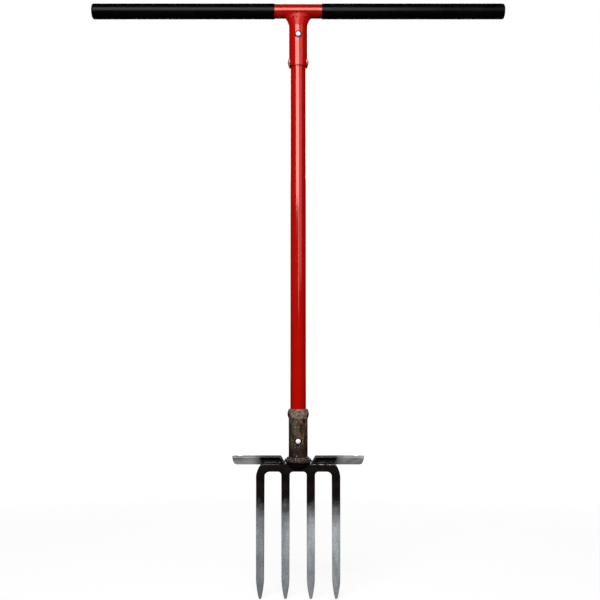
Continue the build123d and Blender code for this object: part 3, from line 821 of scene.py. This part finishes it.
# %% Weld round the socket
SOCKET_BEAD_RADIUS = 0.0024
SOCKET_BEAD_PITCH = 0.0034
SOCKET_BEAD_LIFT = 0.22
LOWER_PASS_INSET, LOWER_PASS_RISE = 0.0030, 0.0010
UPPER_PASS_OUTSET, UPPER_PASS_RISE = 0.0012, 0.0042


def ring_path(radius, height, count=240):
    turns = [2 * math.pi * n / count for n in range(count)]
    return [Vector((radius * math.cos(a), radius * math.sin(a), height)) for a in turns]


weld_low, weld_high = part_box("socket_weld")
socket_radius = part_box("head_socket")[1].x
lower_pass = ring_path(weld_high.x - LOWER_PASS_INSET, weld_low.z + LOWER_PASS_RISE)
upper_pass = ring_path(socket_radius + UPPER_PASS_OUTSET, weld_low.z + UPPER_PASS_RISE)
passes = bead_piece(
    "socket_weld_passes", [lower_pass, upper_pass],
    radius=SOCKET_BEAD_RADIUS, pitch=SOCKET_BEAD_PITCH, lift=SOCKET_BEAD_LIFT,
    closed=True, finish=WELD_METAL,
)
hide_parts("socket_weld")

# %% [markdown]
# Each tread is held by one straight bead along the foot of its back flange, which shows through the
# notch in front. It too stands for the plain bead of the construction, and its ends are round.

# %% Welds inside the treads
TREAD_BEAD_RADIUS = 0.0030
TREAD_BEAD_PITCH = 0.0040
TREAD_BEAD_LIFT = 0.25
TREAD_BEAD_INSET, TREAD_BEAD_RISE = 0.0014, 0.0012


def straight_path(start, end, count=72):
    return [start.lerp(end, n / (count - 1)) for n in range(count)]


for hand in ("left", "right"):
    low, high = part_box(hand + "_tread_weld")
    depth = high.y - TREAD_BEAD_INSET
    height = low.z + TREAD_BEAD_RISE
    seam = straight_path(Vector((low.x, depth, height)), Vector((high.x, depth, height)))
    bead = bead_piece(
        hand + "_tread_bead", [seam],
        radius=TREAD_BEAD_RADIUS, pitch=TREAD_BEAD_PITCH, lift=TREAD_BEAD_LIFT,
        closed=False, finish=TREAD_WELD_METAL,
    )
    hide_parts(hand + "_tread_weld")

# %% [markdown]
# The saddle weld under the crossbar was laid with a weaving hand, and the paint has gone over it. The
# edge of its top and two short runs below it are thin wavy beads, front and back, which catch the light
# in strokes. They lie on the solid weld and don't replace it.

# %% Toe of the saddle weld
STROKE_RADIUS = 0.0012
STROKE_PITCH = 0.0024
STROKE_LIFT = 0.22
STROKE_WEAVE = 0.00025
STROKE_WEAVE_LENGTH = 0.0090
# Start and end across the fork, drop below the crest of the weld, half depth and half width of its section
TOE_STROKES = (
    (-0.0205, 0.0205, 0.0016, 0.0170, 0.0240),
    (-0.0150, -0.0015, 0.0074, 0.0186, 0.0255),
    (0.0080, 0.0175, 0.0066, 0.0186, 0.0255),
)


def stroke_path(front, start, end, drop, half_depth, half_width, count=90):
    """Wavy line across the face of the saddle weld, whose section is close to an ellipse."""
    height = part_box("handle_weld")[1].z - drop
    path = []
    for n in range(count):
        x = start + (end - start) * n / (count - 1)
        z = height + STROKE_WEAVE * math.sin(2 * math.pi * x / STROKE_WEAVE_LENGTH)
        path.append(Vector((x, front * half_depth * math.sqrt(1 - (x / half_width) ** 2), z)))
    return path


for word, front in (("front", -1), ("back", 1)):
    strokes = [stroke_path(front, *stroke) for stroke in TOE_STROKES]
    bead_piece(
        "saddle_toe_" + word, strokes,
        radius=STROKE_RADIUS, pitch=STROKE_PITCH, lift=STROKE_LIFT,
        closed=False, finish=RED_PAINT_ON_TOE,
    )

# %% [markdown]
# ## The studio
# The fork stands on a pale floor in a white surround. More light would make the floor white too, but it
# would also bleach the fork. So the floor is lifted close to white for the camera alone: a little less
# near the fork, so that its shadow still shows, and fully far away, so that it runs into the wall
# behind. In gloss paint the floor reflects dark, which keeps the lower side of the bar deep.

# %% Floor
FLOOR_HALF_SIDE = 12.0
FLOOR_TONE, FLOOR_TONE_IN_GLOSS = 0.24, 0.015
LIFT_NEAR, LIFT_FAR = 0.77, 1.0
LIFT_GROWS_FROM, LIFT_GROWS_TO = 0.8, 3.0


def build_floor():
    mesh = bpy.data.meshes.new("studio_floor")
    half = FLOOR_HALF_SIDE
    corners = [(-half, -half, 0), (half, -half, 0), (half, half, 0), (-half, half, 0)]
    mesh.from_pydata(corners, [], [(0, 1, 2, 3)])
    floor = bpy.data.objects.new("studio_floor", mesh)
    bpy.context.collection.objects.link(floor)
    material, tree, shader = new_finish("floor_white", Roughness=0.9, Specular_IOR_Level=0.1)
    path = put(tree, "ShaderNodeLightPath").outputs
    tone = ramp(tree, path["Is Glossy Ray"], 0.0, 1.0, FLOOR_TONE, FLOOR_TONE_IN_GLOSS)
    tree.links.new(tone, shader.inputs["Base Color"])
    away = put(tree, "ShaderNodeVectorMath", {0: place_on_fork(tree)}, operation="LENGTH").outputs["Value"]
    lift = ramp(tree, away, LIFT_GROWS_FROM, LIFT_GROWS_TO, LIFT_NEAR, LIFT_FAR)
    white = maths(tree, "MULTIPLY", path["Is Camera Ray"], lift)
    glow = put(tree, "ShaderNodeEmission", {"Color": (1, 1, 1, 1), "Strength": white})
    total = put(tree, "ShaderNodeAddShader", {0: shader.outputs[0], 1: glow.outputs[0]})
    tree.links.new(total.outputs[0], tree.nodes["Material Output"].inputs["Surface"])
    mesh.materials.append(material)


build_floor()
print("floor half side in m:", FLOOR_HALF_SIDE)

# %% [markdown]
# The surround is white for the camera and gives an even, moderate light to rough surfaces. An even
# white all round would lie as a haze on the gloss paint. So in reflections it is a white wall behind
# the fork, while the room in front is dark, and the paint stays deep between its highlights.

# %% Surround
AMBIENT = 0.22
ROOM_IN_FRONT, WALL_BEHIND = 0.012, 1.0
WALL_STARTS, WALL_FULL = 0.80, 0.96


def build_surround():
    world = bpy.data.worlds.new("studio_surround")
    bpy.context.scene.world = world
    world.use_nodes = True
    tree = world.node_tree
    path = put(tree, "ShaderNodeLightPath").outputs
    direction = put(tree, "ShaderNodeTexCoord").outputs["Generated"]
    back = put(tree, "ShaderNodeSeparateXYZ", {0: direction}).outputs["Y"]
    wall = ramp(tree, back, WALL_STARTS, WALL_FULL, ROOM_IN_FRONT, WALL_BEHIND)
    wall_gain = maths(tree, "SUBTRACT", wall, AMBIENT)
    light = maths(tree, "MULTIPLY_ADD", path["Is Glossy Ray"], wall_gain, AMBIENT)
    seen = maths(tree, "MAXIMUM", path["Is Camera Ray"], path["Is Transmission Ray"])
    strength = maths(tree, "MAXIMUM", light, seen)
    tree.links.new(strength, tree.nodes["Background"].inputs["Strength"])
    tree.nodes["Background"].inputs["Color"].default_value = (1, 1, 1, 1)


build_surround()
print("surround light:", AMBIENT)

# %% [markdown]
# ## Lamps
# One large soft box stands in front, a little to the left, above the height of the fork's middle: it
# gives the long highlight down the shaft. A narrow strip beside it draws a thin second line on the
# shaft. A weaker box to the right fills the other side, and one behind lights the back. Point lamps
# would give small hot spots instead of long soft lines. The size of a box doesn't change how bright its
# face is, because its energy is worked out from a radiance.

# %% Soft boxes
# Name, azimuth and elevation in degrees, distance, width and height in metres, radiance.
# Azimuth 0 is in front of the fork and positive to the right.
SOFT_BOXES = (
    ("key_soft_box", -12, 30.2, 2.74, 1.95, 1.72, 7.1),
    ("strip_soft_box", 7, 13.5, 2.49, 0.34, 1.0, 4.8),
    ("fill_soft_box", 34, 22, 2.8, 1.6, 1.7, 1.2),
    ("back_soft_box", 175, 30, 3.0, 2.4, 1.6, 3.2),
)


def soft_box(name, azimuth, elevation, distance, width, height, radiance):
    """Area lamp aimed at the middle of the fork."""
    target = (cad_low + cad_high) / 2
    turn, rise = math.radians(azimuth), math.radians(elevation)
    away = Vector((math.sin(turn) * math.cos(rise), -math.cos(turn) * math.cos(rise), math.sin(rise)))
    data = bpy.data.lights.new(name, "AREA")
    data.shape = "RECTANGLE"
    data.size, data.size_y = width, height
    data.energy = radiance * math.pi * width * height
    lamp = bpy.data.objects.new(name, data)
    lamp.location = target + away * distance
    lamp.rotation_euler = (-away).to_track_quat("-Z", "Y").to_euler()
    bpy.context.collection.objects.link(lamp)


for box in SOFT_BOXES:
    soft_box(*box)

# %% [markdown]
# ## View
# The plain view transform shows a colour as it is written.

# %% Render look
bpy.context.scene.view_settings.view_transform = "Standard"
print("view transform:", bpy.context.scene.view_settings.view_transform)
